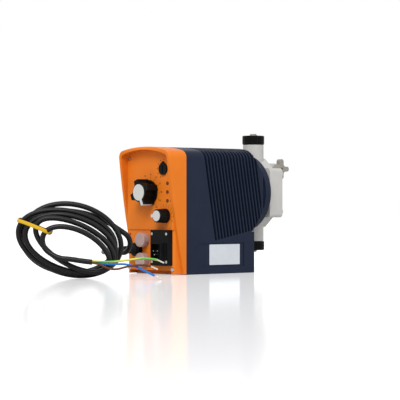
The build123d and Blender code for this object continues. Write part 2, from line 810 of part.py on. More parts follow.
def diaphragm():
    """Round membrane with a thick rim, one convolution and a hub that takes the rod."""
    rim = diaphragm_rim
    hub = diaphragm_hub_radius
    skin = diaphragm_skin
    fold = (chamber_radius + hub) / 2
    section = Polyline(
        (rod_radius + 0.05, rim + 0.9 - diaphragm_hub_length),
        (hub, rim + 0.9 - diaphragm_hub_length),
        (hub, 0.4),
        (fold, -0.7),
        (chamber_radius, 0),
        (diaphragm_radius, 0),
        (diaphragm_radius, rim),
        (chamber_radius, rim),
        (chamber_radius - 1, skin),
        (fold, skin - 0.7),
        (hub, 0.4 + skin),
        (hub - 1, rim + 0.9),
        (0, rim + 0.9),
        (0, 1.55),
        (rod_radius + 0.05, 1.55),
        (rod_radius + 0.05, rim + 0.9 - diaphragm_hub_length),
    )
    return Pos(0, diaphragm_y, axis_z) * revolve(make_face(section), Axis.Y)


def head_outline():
    """Front view of the dosing head: four ears with a trapezoid above and below."""
    w, h, r, t, b = ear_half_width, ear_half_height, boss_root, boss_tip, boss_half_height
    right = [(w, -h), (w, h), (r, h), (t, b)]
    left = [(-x, z) for x, z in reversed(right)]
    below = [(-r, -h), (-t, -b), (t, -b), (r, -h)]
    points = right + left[:1] + left[1:2] + left[2:] + below
    face = make_face(Polyline(*points, points[0]))
    ears = [v for v in face.vertices() if abs(abs(v.X) - w) < 0.01]
    others = [v for v in face.vertices() if abs(abs(v.X) - w) >= 0.01]
    return fillet(ears, ear_radius), others


def dosing_head():
    """Head block with its valve columns, pump chamber, channels and bleed boss."""
    outline, _ = head_outline()
    shape = along_y(Pos(0, axis_z) * outline, head_back, head_front)
    shape = chamfer(shape.faces().sort_by(Axis.Y)[-1].edges(), head_chamfer)
    reach = column_half_height
    shape += post(column_radius, axis_z - reach, axis_z + reach)
    shape += post(thread_radius, axis_z - reach - thread_length, axis_z + reach + thread_length)
    shape += rod(bleed_boss_radius, head_front - 2, bleed_boss_end, 0, bleed_z)
    shape -= rod(flange_radius + 1, flange_face - 5, head_back)
    shape -= cone(chamber_radius, chamber_radius - 8, head_back, head_back + chamber_depth)
    for side in (-1, 1):
        mouth = axis_z + side * (reach + thread_length + 1)
        floor = axis_z + side * (reach + thread_length - valve_bore_depth)
        shape -= post(valve_bore, min(mouth, floor), max(mouth, floor))
        bend = axis_z + side * channel_offset
        deep = bend - side * (channel_radius + 1)
        shape -= post(channel_radius, min(deep, floor + side), max(deep, floor + side))
        shape -= rod(cross_channel_radius, head_back + 1, valve_y, 0, bend)
        groove_floor = axis_z + side * (reach + thread_length - 2 * o_ring_minor)
        low, high = min(mouth, groove_floor), max(mouth, groove_floor)
        half = o_ring_minor + fit
        shape -= post(o_ring_major + half, low, high) - post(o_ring_major - half, low, high)
    shape -= rod(bleed_channel_radius, valve_y, bleed_spindle_y, 0, bleed_z)
    shape -= pin(needle_radius + running_clearance, 0, cut_past, bleed_spindle_y, bleed_z)
    shape -= pin(bleed_outlet_radius, -cut_past, needle_start, bleed_spindle_y, bleed_z)
    for x, z in head_screw_places():
        shape -= rod(head_screw_radius + fit, head_back - 1, head_front + 1, x, z)
    return shape


def valve(low):
    """Seat, ball and cage of one ball valve, standing on the height low."""
    seat = post(valve_bore - fit, low, low + seat_height) - post(seat_bore, low - 1, low + seat_height + 1)
    top = low + seat_height
    rise = sqrt(ball_radius**2 - seat_bore**2) + ball_rest_gap
    ball = Pos(0, valve_y, top + rise) * Sphere(ball_radius)
    roof = top + rise + ball_radius + ball_lift + 0.1
    cage = post(valve_bore - fit, top, roof + cage_roof) - post(cage_bore, top - 1, roof)
    for k in range(4):
        angle = radians(90 * k + 45)
        x, y = cage_hole_circle * cos(angle), cage_hole_circle * sin(angle)
        cage -= post(cage_hole_radius, roof - 1, roof + cage_roof + 1, x, valve_y + y)
    return seat, ball, cage, roof + cage_roof


def connector(side):
    """Hose nozzle, union nut and O-ring at one end of the valve column; side is -1 or 1."""
    def stand(radius, start, end):
        low, high = sorted((axis_z + side * start, axis_z + side * end))
        return post(radius, low, high)

    face = column_half_height + thread_length
    flange = face + nozzle_flange
    neck = stand(nozzle_neck_radius, face, flange + nut_height - thread_length - nozzle_flange + 1)
    nozzle = stand(thread_radius - 0.2, face, flange) + neck
    nozzle += stand(valve_bore - fit, face - nozzle_spigot, face)
    tip_start = flange + nut_height - thread_length - nozzle_flange
    barb = Cone(nozzle_neck_radius - 0.8, nozzle_tip_radius, nozzle_reach - tip_start)
    turn = Rot(0, 0, 0) if side > 0 else Rot(180, 0, 0)
    nozzle += Pos(0, valve_y, axis_z + side * (nozzle_reach + tip_start) / 2) * turn * barb
    nozzle -= stand(nozzle_bore, face - nozzle_spigot - 1, nozzle_reach + 1)

    base = column_half_height + 0.3
    nut = stand(nut_radius, base, base + nut_height)
    nut = chamfer(nut.edges().filter_by(GeomType.CIRCLE), 1.0)
    nut -= stand(thread_radius + fit, base - 1, flange + fit)
    nut -= stand(nut_lip_bore, base, base + nut_height + 1)
    for k in range(nut_ribs):
        angle = 2 * pi * k / nut_ribs
        reach = nut_radius + 0.45
        low, high = sorted((axis_z + side * (base + 2), axis_z + side * (base + nut_height - 2)))
        nut -= post(0.9, low, high, reach * cos(angle), valve_y + reach * sin(angle))

    height = axis_z + side * (face - o_ring_minor)
    seal = Pos(0, valve_y, height) * Torus(o_ring_major, o_ring_minor)
    return nozzle, nut, seal


def star_knob():
    """Four-pronged grip of the bleed valve, facing sideways."""
    grip = Circle(star_hub_radius)
    for k in range(star_prongs):
        arm = Pos(star_radius / 2, 0) * SlotOverall(star_radius + star_prong_width, star_prong_width)
        arm = Pos(-star_prong_width / 2, 0) * arm
        grip += Rot(0, 0, 360 / star_prongs * k) * arm
    grip = fillet([v for v in grip.vertices() if v.center().length < star_hub_radius + 1.5], 3.2)
    face = Pos(bleed_spindle_y, bleed_z) * grip
    shape = along_x(face, star_start, star_end)
    shape -= pin(needle_radius + 0.05, star_start - 1, needle_end + needle_lift + fit, bleed_spindle_y, bleed_z)
    return shape - pin(star_hole_radius, needle_end, star_end + 1, bleed_spindle_y, bleed_z)


def bleed_needle():
    """Spindle of the bleed valve with a conical point."""
    shape = pin(needle_radius, needle_start + 3, needle_end, bleed_spindle_y, bleed_z)
    point = Rot(0, 90, 0) * Cone(0.8, needle_radius, 3)
    return shape + Pos(needle_start + 1.5, bleed_spindle_y, bleed_z) * point


def bleed_collar():
    """Packing collar round the spindle, on the side of the boss."""
    start = sqrt(bleed_boss_radius**2 - bleed_collar_radius**2)
    end = bleed_boss_radius + bleed_collar_length
    shape = pin(bleed_collar_radius, start, end, bleed_spindle_y, bleed_z)
    shape -= rod(bleed_boss_radius, head_front, bleed_boss_end, 0, bleed_z)
    shape = shape.solids().sort_by(Axis.X)[-1]
    return shape - pin(needle_radius + running_clearance, 0, cut_past, bleed_spindle_y, bleed_z)


def bleed_nozzle():
    """Small barbed outlet opposite the star knob."""
    end = -bleed_boss_radius - bleed_nozzle_length
    shape = pin(bleed_nozzle_radius, end, -1, bleed_spindle_y, bleed_z)
    for k in range(2):
        barb = Rot(0, 90, 0) * Cone(bleed_nozzle_radius, bleed_nozzle_radius + 0.9, 3)
        shape += Pos(end + 1.5 + 4 * k, bleed_spindle_y, bleed_z) * barb
    shape -= rod(bleed_boss_radius, head_front, bleed_boss_end, 0, bleed_z)
    shape = shape.solids().sort_by(Axis.X)[0]
    return shape - pin(bleed_nozzle_bore, end - 1, 0, bleed_spindle_y, bleed_z)


# ---- mains lead ---------------------------------------------------------------------------
relief_end = -gland_length - relief_length
coil_axis = (cos(radians(coil_turn)), sin(radians(coil_turn)))  # out of the flat side of the hank
coil_long = (-sin(radians(coil_turn)), cos(radians(coil_turn)))
tail_run = (14.0, 0.0, -1.6)
lead_route = [(45.0, -147.7, 34.0), (36.6, -134.1, 33.5), (31.3, -114.8, 32.0), (38.0, -86.0, 33.0)]
lead_end = [(52.0, -54.0, 38.0), (52.0, -coil_thickness / 2, 38.0)]
tail_route = [(-17.0, 24.0, 27.4), (-3.0, 24.4, 26.6), (11.0, 24.2, 24.2), (25.0, 24.2, 22.6)]
core_routes = {
    "core_green_yellow": (0.0, 1.66, [(52, 25, 23.0), (77, 25, 26.3), (96, 24, 28.2), (109, 23, 25.6), (118, 23, 21.4)]),
    "core_blue": (-1.44, -0.83, [(48, 25, 19.8), (73, 26, 20.6), (99, 29, 9.5), (115, 30, 1.6)]),
    "core_brown": (1.44, -0.83, [(45, 29, 14.6), (57, 31, 13.2), (71, 31, 17.6), (92, 30, 19.6), (110, 29, 13.4)]),
}


def coil_point(along, out, z):
    """A point given along the hank, out of its flat side and above the floor."""
    x = coil_centre[0] + along * coil_long[0] + out * coil_axis[0]
    y = coil_centre[1] + along * coil_long[1] + out * coil_axis[1]
    return (x, y, z)


def lead_points():
    """From the strain relief to the back of the hank."""
    start = (gland_at[0], relief_end, gland_at[1])
    return [start] + [coil_point(*place) for place in lead_route + lead_end]


def tail_points():
    """The last stretch of the sheath, in front of the hank."""
    return [coil_point(*place) for place in tail_route]


def core_points(out, up, route):
    """One core, leaving the end of the sheath square to it."""
    length = sqrt(sum(step**2 for step in tail_run))
    run = [step / length for step in tail_run]
    u, w, z = tail_route[-1]
    start = (u - up * run[2], w + out, z + up * run[0])
    second = (start[0] + 9 * run[0], start[1], start[2] + 9 * run[2])
    return [coil_point(*place) for place in [start, second] + route]


def corner_radii(points):
    """Each arc is as large as 0.45 of its shorter run allows."""
    radii = []
    for a, b, c in zip(points, points[1:], points[2:]):
        u, v = Vector(*b) - Vector(*a), Vector(*c) - Vector(*b)
        turn = radians(u.get_angle(v))
        radii.append(0.45 * min(u.length, v.length) / tan(turn / 2))
    return radii


def tube(points, diameter, label):
    """A round cord along straight runs joined by tangent arcs."""
    radii = corner_radii(points)
    path = FilletPolyline(*points, radius=radii)
    section = Plane(origin=path @ 0, z_dir=path % 0) * Circle(diameter / 2)
    shape = sweep(section, path)
    ratio = shape.volume / (pi * diameter**2 / 4 * path.length)
    print(label, "length", round(path.length, 1), "radii", [round(r) for r in radii], "fill", round(ratio, 4))
    return shape


def coil_place():
    """Where the hank of cable stands."""
    return Pos(*coil_centre) * Rot(0, 0, coil_turn)


def hank(grow):
    """Outer shape of the oval hank that stands on its edge, grown by a clearance."""
    hole = Pos(0, -coil_hole_drop) * Ellipse(coil_hole_length - grow, coil_hole_height - grow)
    face = Ellipse(coil_half_length + grow, coil_half_height + grow) - hole
    half = coil_thickness / 2 + grow
    return coil_place() * chamfer(along_x(face, -half, half).edges(), coil_chamfer)


def cable_tie():
    """Flat band round the upper left of the hank."""
    band = hank(tie_room + tie_wall) - hank(tie_room)
    reach = 2 * coil_half_length
    slab = Box(2 * coil_thickness, reach, tie_width)
    slab = Rot(-tie_angle, 0, 0) * (Pos(0, -reach / 2, 0) * slab)
    return band & (coil_place() * slab)


# ---- everything ---------------------------------------------------------------------------
def main():
    """Builds and writes every node."""
    os.makedirs("parts", exist_ok=True)
    save("front_housing", front_housing())
    save("rear_housing", rear_housing())
    save("housing_gasket", housing_gasket())
    save("housing_screws", *housing_screws())
    save("rating_plate", rating_plate())

    stroke_grip, stroke_cap = stroke_knob()
    save("stroke_knob", stroke_grip)
    save("stroke_knob_cap", stroke_cap)
    frequency_knob, frequency_cap = knob(
        frequency_at, frequency_radius, frequency_front_radius, frequency_length, frequency_flutes,
        flute_bite, frequency_shaft_radius + 0.02, frequency_cap_radius, -90,
    )
    save("frequency_knob", frequency_knob)
    save("frequency_knob_cap", frequency_cap)
    knob_front = -panel_proud - knob_gap - frequency_length
    save("frequency_shaft", rod(frequency_shaft_radius, knob_front + 4.5, board_y - 1.0, *frequency_at))
    x, z = frequency_at
    save("frequency_potentiometer", ring(8.0, frequency_shaft_radius + 0.05, panel_thickness, board_y, x, z))
    save("mode_dial", mode_dial())
    x, z = dial_at
    save("mode_switch", ring(7.5, dial_shaft_radius + 0.05, panel_thickness, board_y, x, z))
    save("led_lenses", *[
        rod(led_radius, -panel_proud - led_proud, board_y, led_x, led_centre_z + k * led_pitch)
        for k in (-1, 0, 1)
    ])

    board = block(-board_half_width, board_half_width, board_y, board_y + board_thickness, board_low, board_high)
    board -= rod(board_hole_radius, 0, joint_y)
    for x, z in standoff_places:
        board -= rod(board_screw_radius + 0.1, 0, joint_y, x, z)
    save("control_board", board)
    back = board_y + board_thickness
    save("board_screws", *[
        rod(board_screw_radius - running_clearance, board_y - board_screw_reach, back, x, z)
        + rod(board_screw_head, back, back + board_screw_head_height, x, z)
        for x, z in standoff_places
    ])

    save("relay_module", relay_module())
    save("relay_module_screws", *[
        screw(-module_depth + 1.0, panel_thickness, board_screw_radius - 0.05, module_screw_radius, 1.1, x, z)
        for x, z in module_screw_places()
    ])
    pin_base = -module_depth + socket_recess_depth
    save("relay_pins", *[rod(pin_radius, pin_base - pin_length, pin_base, x, z) for x, z in pin_places])
    save("panel_sockets", *[socket(z) for z in socket_places])
    save("control_socket_cap", socket_cap(socket_places[0]))
    save("level_socket_cap", socket_cap(socket_places[1]))
    save("cable_gland", cable_gland())
    save("gland_nut", gland_nut())
    save("strain_relief", strain_relief())

    inside = solenoid_parts()
    save("spindle_bushes", inside.pop("spindle_bush"), inside.pop("panel_bush"))
    for name, shape in inside.items():
        save(name, shape)

    save("head_disc", head_disc())
    save("diaphragm", diaphragm())
    save("dosing_head", dosing_head())
    save("head_screws", *[
        Pos(0, 0, 0) * (
            rod(head_screw_radius, flange_face - head_screw_reach, head_front, x, z)
            + rod(head_screw_head, head_front, head_front + head_screw_head_height, x, z)
            - along_y(Pos(x, z) * RegularPolygon(2.4, 6), head_front + 2, head_front + 6)
        )
        for x, z in head_screw_places()
    ])
    face = column_half_height + thread_length
    suction_low = axis_z - face + nozzle_spigot + fit
    discharge_low = axis_z + face - valve_bore_depth
    valves = [valve(low) for low in (suction_low, discharge_low)]
    save("valve_seats", *[seat for seat, _, _, _ in valves])
    save("ball_cages", *[cage for _, _, cage, _ in valves])
    save("suction_ball", valves[0][1])
    save("discharge_ball", valves[1][1])
    seals = []
    for name, side in (("suction", -1), ("discharge", 1)):
        nozzle, nut, seal = connector(side)
        save(f"{name}_nozzle", nozzle)
        save(f"{name}_union_nut", nut)
        seals.append(seal)
    save("union_o_rings", *seals)
    save("bleed_star_knob", star_knob())
    save("bleed_needle", bleed_needle())
    save("bleed_collar", bleed_collar())
    save("bleed_nozzle", bleed_nozzle())

    save("mains_cable_lead", tube(lead_points(), cable_diameter, "lead"))
    save("mains_cable_coil", hank(0))
    save("cable_tie", cable_tie())
    save("mains_cable_tail", tube(tail_points(), cable_diameter, "tail"))
    for name, (out, up, route) in core_routes.items():
        save(name, tube(core_points(out, up, route), core_diameter, name))


main()
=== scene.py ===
import math

import bpy
import numpy as np
from mathutils import Matrix, Vector


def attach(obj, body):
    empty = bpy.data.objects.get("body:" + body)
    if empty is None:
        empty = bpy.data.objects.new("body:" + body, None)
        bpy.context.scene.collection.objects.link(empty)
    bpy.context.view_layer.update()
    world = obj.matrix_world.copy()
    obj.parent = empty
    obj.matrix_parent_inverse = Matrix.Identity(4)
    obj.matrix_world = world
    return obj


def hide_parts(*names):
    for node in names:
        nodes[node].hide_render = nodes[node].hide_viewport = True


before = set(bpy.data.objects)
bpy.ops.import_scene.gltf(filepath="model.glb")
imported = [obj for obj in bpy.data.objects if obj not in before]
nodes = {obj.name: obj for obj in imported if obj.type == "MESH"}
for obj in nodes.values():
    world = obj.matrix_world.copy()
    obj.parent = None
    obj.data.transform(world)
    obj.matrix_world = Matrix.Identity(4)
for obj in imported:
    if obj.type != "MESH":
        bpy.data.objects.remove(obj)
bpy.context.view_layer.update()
print("stage: frame loaded,", len(nodes), "nodes")

mm = 0.001
panelToMiddle = 111.75  # mm from the lower panel face back to the middle of the pump
axisHeight = 113.5  # mm, shared by the stroke knob, the solenoid and the diaphragm


def at(x, y, z):  # millimetres counted from the panel face, as a point of the frame in metres
    return Vector((x * mm, (y - panelToMiddle) * mm, z * mm))


view = {"place": at(1960.25, -1702.8, 101.65), "turn": 47.5, "lens": 168.2, "sensor": 36.0, "lift": 0.0025}


def makeCamera():
    lens = bpy.data.cameras.new("viewCamera")
    lens.lens = view["lens"]
    lens.sensor_width = view["sensor"]
    lens.shift_y = view["lift"]
    lens.clip_start = 0.05
    lens.clip_end = 60
    camera = bpy.data.objects.new("viewCamera", lens)
    camera.location = view["place"]
    camera.rotation_euler = (math.radians(90), 0, math.radians(view["turn"]))
    bpy.context.scene.collection.objects.link(camera)
    bpy.context.scene.camera = camera


makeCamera()
print("stage: camera")


class Wire:  # a value that travels between shader nodes, with arithmetic
    def __init__(self, maker, socket):
        self.maker = maker
        self.socket = socket

    def maths(self, kind, *others):
        return self.maker.node("ShaderNodeMath", {"operation": kind}, dict(enumerate([self, *others])))

    def __add__(self, other):
        return self.maths("ADD", other)

    __radd__ = __add__

    def __sub__(self, other):
        return self.maths("SUBTRACT", other)

    def __mul__(self, other):
        return self.maths("MULTIPLY", other)

    __rmul__ = __mul__

    def sine(self):
        return self.maths("SINE")

    def ramp(self, low, high):  # 0 below low, 1 above high
        return self.maker.node(
            "ShaderNodeMapRange", {"clamp": True, "interpolation_type": "SMOOTHSTEP"},
            {"Value": self, "From Min": low, "From Max": high},
        )


class Finish:  # one material under construction
    def __init__(self, name):
        self.material = bpy.data.materials.new(name)
        self.material.use_nodes = True
        self.tree = self.material.node_tree
        self.tree.nodes.clear()
        self.output = self.tree.nodes.new("ShaderNodeOutputMaterial")

    def node(self, kind, settings=None, values=None, out=0):
        made = self.tree.nodes.new(kind)
        for key, value in (settings or {}).items():
            setattr(made, key, value)
        for key, value in (values or {}).items():
            socket = made.inputs[key]
            if isinstance(value, Wire):
                self.tree.links.new(value.socket, socket)
            else:
                socket.default_value = value
        return Wire(self, made.outputs[out])

    def place(self):  # object coordinates, in metres
        return self.node("ShaderNodeTexCoord", out="Object")

    def noise(self, size, detail=3.0, rough=0.55, stretch=None):  # grain of about size metres
        spot = self.place()
        if stretch:
            spot = self.node("ShaderNodeMapping", None, {"Vector": spot, "Scale": stretch})
        values = {"Vector": spot, "Scale": 1 / size, "Detail": detail, "Roughness": rough}
        return self.node("ShaderNodeTexNoise", None, values)

    def mix(self, factor, first, second):
        return self.node(
            "ShaderNodeMix", {"data_type": "RGBA"}, {0: factor, 6: first, 7: second}, out=2
        )

    def bump(self, height, depth):
        return self.node("ShaderNodeBump", None, {"Height": height, "Distance": depth, "Strength": 1.0})

    def finish(self, **values):
        plain = {key.replace("_", " "): value for key, value in values.items()}
        shader = self.node("ShaderNodeBsdfPrincipled", None, plain)
        self.tree.links.new(shader.socket, self.output.inputs["Surface"])
        return self.material


def shade(colour, by):  # a colour made darker or lighter, numbers only
    return tuple(min(1.0, max(0.0, c * by)) for c in colour[:3]) + (1.0,)


def mouldedPlastic(
    name, colour, rough=0.42, grain=0.0006, depth=0.00003, mottle=0.06, coat=0.0, specular=0.22,
):
    f = Finish(name)
    cloud = f.noise(0.03, 2.0)
    fine = f.noise(grain, 2.0)
    worn = f.noise(0.008, 4.0, 0.6)
    base = f.mix(cloud.ramp(0.3, 0.7), shade(colour, 1 - mottle), shade(colour, 1 + mottle))
    base = f.mix(worn.ramp(0.62, 0.8) * 0.25, base, shade(colour, 1.15))
    return f.finish(
        Base_Color=base, Roughness=rough + (worn - 0.5) * 0.16 + (fine - 0.5) * 0.06,
        Normal=f.bump(fine, depth), Specular_IOR_Level=specular, Coat_Weight=coat, Coat_Roughness=0.15,
    )


def turnedMetal(name, colour, rough=0.28, scratch=0.0003, depth=0.00001):
    f = Finish(name)
    lines = f.noise(scratch, 2.0, stretch=(1, 0.08, 1))
    stain = f.noise(0.006, 3.0)
    base = f.mix(stain.ramp(0.35, 0.7), shade(colour, 0.82), shade(colour, 1.06))
    return f.finish(
        Base_Color=base, Metallic=1.0, Roughness=rough + (lines - 0.5) * 0.2 + (stain - 0.5) * 0.12,
        Normal=f.bump(lines, depth),
    )


def clearSoft(name, colour, rough=0.3, through=0.55):
    f = Finish(name)
    cloud = f.noise(0.006, 3.0)
    return f.finish(
        Base_Color=f.mix(cloud.ramp(0.3, 0.7), shade(colour, 0.92), shade(colour, 1.05)),
        Roughness=rough + (cloud - 0.5) * 0.15, Transmission_Weight=through, IOR=1.45,
        Normal=f.bump(cloud, 0.00004),
    )


def woundCopper(name):  # close turns of enamelled wire round the Y axis
    f = Finish(name)
    spot = f.place()
    along = f.node("ShaderNodeSeparateXYZ", None, {"Vector": spot}, out=1)
    # the sine of the turns gives both the bump and the painted shade darkening the grooves between turns
    ridgeAndGrooveShade = (along * (2 * math.pi / 0.0009)).sine()
    stain = f.noise(0.01, 3.0)
    base = f.mix(stain.ramp(0.3, 0.7), (0.42, 0.13, 0.035, 1), (0.62, 0.24, 0.07, 1))
    # painted shade: the grooves between the turns are darkened to near black
    base = f.mix(ridgeAndGrooveShade.ramp(-0.9, -0.2), (0.12, 0.03, 0.01, 1), base)
    return f.finish(Base_Color=base, Metallic=0.75, Roughness=0.3 + stain * 0.1, Normal=f.bump(ridgeAndGrooveShade, 0.0002))


def stripedCore(name):  # green insulation with a yellow band that winds slowly round it
    f = Finish(name)
    spot = f.node("ShaderNodeTexCoord", out="UV")
    split = f.node("ShaderNodeSeparateXYZ", None, {"Vector": spot}, out=0)
    around = Wire(f, split.socket.node.outputs[1])
    band = ((around + split * 1.5) * (2 * math.pi)).sine()
    fine = f.noise(0.0008, 2.0)
    base = f.mix(band.ramp(-0.12, 0.12), (0.13, 0.42, 0.06, 1), (0.62, 0.6, 0.05, 1))
    return f.finish(Base_Color=base, Roughness=0.34 + fine * 0.1, Normal=f.bump(fine, 0.00002))


def rubberSheath(name, colour=(0.0045, 0.0045, 0.005), rough=0.36):
    f = Finish(name)
    fine = f.noise(0.0012, 3.0)
    dust = f.noise(0.02, 4.0, 0.65)
    base = f.mix(dust.ramp(0.45, 0.85) * 0.4, shade(colour, 1), shade(colour, 2.2))
    return f.finish(
        Base_Color=base, Roughness=rough + (dust - 0.5) * 0.25, Normal=f.bump(fine, 0.00005),
        Specular_IOR_Level=0.22,
    )


finishes = {
    "orangeShell": mouldedPlastic(
        "orangeShell", (0.76, 0.19, 0.014), 0.4, 0.0007, 0.00003, 0.03, specular=0.15,
    ),
    "blueCasting": mouldedPlastic(
        "blueCasting", (0.012, 0.018, 0.038), 0.45, 0.0006, 0.00004, 0.07, specular=0.12,
    ),
    "blackPlastic": mouldedPlastic(
        "blackPlastic", (0.004, 0.004, 0.0042), 0.36, 0.0005, 0.00002, 0.12, specular=0.08,
    ),
    "whitePlastic": mouldedPlastic("whitePlastic", (0.62, 0.62, 0.595), 0.3, 0.0008, 0.00001, 0.02, 0.2),
    "greyPlastic": mouldedPlastic("greyPlastic", (0.3, 0.29, 0.25), 0.48, 0.0006, 0.00004, 0.06),
    "headPlastic": mouldedPlastic("headPlastic", (0.54, 0.53, 0.51), 0.46, 0.0008, 0.00003, 0.04),
    "membrane": mouldedPlastic("membrane", (0.7, 0.7, 0.68), 0.5, 0.0008, 0.00002, 0.03),
    "board": mouldedPlastic("board", (0.02, 0.13, 0.05), 0.35, 0.0012, 0.00002, 0.1, 0.3),
    "blackRubber": rubberSheath("blackRubber", (0.012, 0.012, 0.012), 0.55),
    "zincSteel": turnedMetal("zincSteel", (0.62, 0.62, 0.6), 0.3),
    "brightSteel": turnedMetal("brightSteel", (0.75, 0.75, 0.76), 0.2),
    "lacqueredSteel": mouldedPlastic("lacqueredSteel", (0.05, 0.05, 0.055), 0.35, 0.0005, 0.00001, 0.1),
    "turnedBrass": turnedMetal("turnedBrass", (0.75, 0.55, 0.25), 0.25),
    "woundCopper": woundCopper("woundCopper"),
    "softCap": clearSoft("softCap", (0.82, 0.6, 0.56), 0.32, 0.55),
    "darkLens": mouldedPlastic("darkLens", (0.13, 0.03, 0.006), 0.25, 0.002, 0.00001, 0.1),
    "barePlate": mouldedPlastic("barePlate", (0.62, 0.66, 0.7), 0.28, 0.001, 0.00001, 0.03, 0.1),
}

finishOf = {
    "orangeShell": ["front_housing"],
    "blueCasting": ["rear_housing"],
    "blackPlastic": [
        "stroke_knob", "frequency_knob", "mode_dial", "mode_switch", "relay_module", "panel_sockets",
        "cable_gland", "gland_nut", "coil_bobbin", "suction_union_nut", "discharge_union_nut",
    ],
    "whitePlastic": ["stroke_knob_cap", "frequency_knob_cap", "suction_ball", "discharge_ball"],
    "greyPlastic": ["bleed_star_knob", "bleed_collar", "bleed_nozzle", "suction_nozzle", "discharge_nozzle"],
    "headPlastic": ["dosing_head", "head_disc", "ball_cages"],
    "membrane": ["diaphragm", "valve_seats"],
    "board": ["control_board"],
    "blackRubber": ["housing_gasket", "strain_relief", "union_o_rings"],
    "zincSteel": [
        "housing_screws", "head_screws", "board_screws", "relay_module_screws", "frequency_potentiometer",
        "relay_pins",
    ],
    "brightSteel": [
        "frequency_shaft", "stroke_spindle", "armature", "push_rod", "return_spring", "bleed_needle",
    ],
    "lacqueredSteel": ["solenoid_yoke", "pole_piece"],
    "turnedBrass": ["armature_bush", "push_rod_bush", "spindle_bushes"],
    "woundCopper": ["coil_winding"],
    "softCap": ["control_socket_cap", "level_socket_cap"],
    "darkLens": ["led_lenses"],
    "barePlate": ["rating_plate"],
}

for finishName, names in finishOf.items():
    for name in names:
        nodes[name].data.materials.clear()
        nodes[name].data.materials.append(finishes[finishName])
print("stage: finishes on the modelled nodes")


def addPiece(name, points, faces, material, body, smooth=True):  # faces is a list of lists
    mesh = bpy.data.meshes.new(name)
    mesh.from_pydata(np.asarray(points).tolist(), [], faces)
    mesh.polygons.foreach_set("use_smooth", np.full(len(mesh.polygons), smooth))
    mesh.materials.append(material)
    mesh.update()
    piece = bpy.data.objects.new(name, mesh)
    bpy.context.scene.collection.objects.link(piece)
    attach(piece, body)
    return piece


def ringFaces(rows, columns):
    # the quads between rings of points that lie one after another, each ring closed on itself
    i = np.arange(rows - 1)[:, None]
    j = np.arange(columns)[None, :]
    here = i * columns + j
    right = i * columns + (j + 1) % columns
    below = (i + 1) * columns + j
    corner = (i + 1) * columns + (j + 1) % columns
    return np.stack([here, right, corner, below], -1).reshape(-1, 4)


def linePoints(curve):  # the points of a curve's own line, without its bevel
    bare = curve.data.copy()
    bare.bevel_depth = 0
    probe = bpy.data.objects.new("probe", bare)
    bpy.context.scene.collection.objects.link(probe)
    bpy.context.view_layer.update()
    mesh = bpy.data.meshes.new_from_object(probe.evaluated_get(bpy.context.evaluated_depsgraph_get()))
    points = np.array([v.co[:] for v in mesh.vertices])
    bpy.data.objects.remove(probe)
    return points


def lengthOf(points):
    return float(np.linalg.norm(np.diff(points, axis=0), axis=1).sum())


def tubeAlong(points, radii, sides=16):
    # a ring of points round each point of a line, in a frame carried along it without twist,
    # and a centre point at each end to close it
    tangents = np.gradient(points, axis=0)
    tangents /= np.linalg.norm(tangents, axis=1)[:, None]
    side = np.cross(tangents[0], (0.0, 0.0, 1.0))
    side /= np.linalg.norm(side)
    sidesOut = []
    for tangent in tangents:
        side = side - tangent * side.dot(tangent)
        side = side / np.linalg.norm(side)
        sidesOut.append(side)
    first = np.array(sidesOut)
    second = np.cross(tangents, first)
    angles = np.linspace(0, 2 * np.pi, sides, endpoint=False)
    ring = first[:, None] * np.cos(angles)[None, :, None] + second[:, None] * np.sin(angles)[None, :, None]
    shell = points[:, None] + ring * np.asarray(radii)[:, None, None]
    faces = ringFaces(len(points), sides)[:, ::-1].tolist()
    count = shell.shape[0] * sides
    every = np.vstack([shell.reshape(-1, 3), points[:1], points[-1:]])
    ends = np.arange(sides)
    faces += np.stack([np.full(sides, count), ends, (ends + 1) % sides], -1).tolist()
    last = count - sides
    faces += np.stack([np.full(sides, count + 1), last + (ends + 1) % sides, last + ends], -1).tolist()
    return every, faces


tie = {"angle": 158.0, "centre": 48.2, "room": 0.4, "squareness": 0.45, "wall": 0.6, "nearBand": 3.0}
ringSteps = {"strands": 24, "tie": 96}
hank = {"middle": (52.0, -177.0), "turn": -42.5, "first": 46.0, "last": 2016.0, "perTurn": 15, "grow": 1.018,
        "spread": 19.6}
cable = {"diameter": 7.0, "core": 2.8, "tinned": 2.0}


def hankPoint(along, out, z):  # along the hank, out of its flat side and above the floor, in mm
    angle = math.radians(hank["turn"])
    x = hank["middle"][0] - along * math.sin(angle) + out * math.cos(angle)
    y = hank["middle"][1] + along * math.cos(angle) + out * math.sin(angle)
    return at(x, y, z)


def hankTurns():
    # each turn is an ellipse with its own middle, half lengths and tilt, and these change evenly
    # from turn to turn while the cable moves out of the flat side by a little over its diameter
    count = round((hank["last"] - hank["first"]) / 360 * hank["perTurn"])
    turns = np.linspace(hank["first"], hank["last"], count) / 360
    middles = np.array([0.4, 1.4, 2.4, 3.4, 4.4, 5.3])
    along = np.interp(turns, middles, [3.6, -8.3, -10.0, -5.2, -0.4, 3.0])
    height = np.interp(turns, middles, [44.6, 53.5, 48.4, 43.0, 46.9, 37.0])
    longHalf = np.interp(turns, middles, [73.0, 60.0, 66.0, 62.0, 55.0, 46.5]) * hank["grow"]
    shortHalf = np.interp(turns, middles, [42.0, 46.4, 38.2, 38.0, 24.5, 26.0]) * hank["grow"]
    tilt = np.radians(np.interp(turns, middles, [-14.0, -5.0, -16.0, -18.0, -26.0, -28.0]))
    angle = 2 * np.pi * turns
    u = longHalf * np.cos(angle)
    v = shortHalf * np.sin(angle)
    out = np.linspace(-hank["spread"], hank["spread"], count)
    along = along + u * np.cos(tilt) - v * np.sin(tilt)
    height = height + u * np.sin(tilt) + v * np.cos(tilt)
    return np.stack([along, out, height], 1)


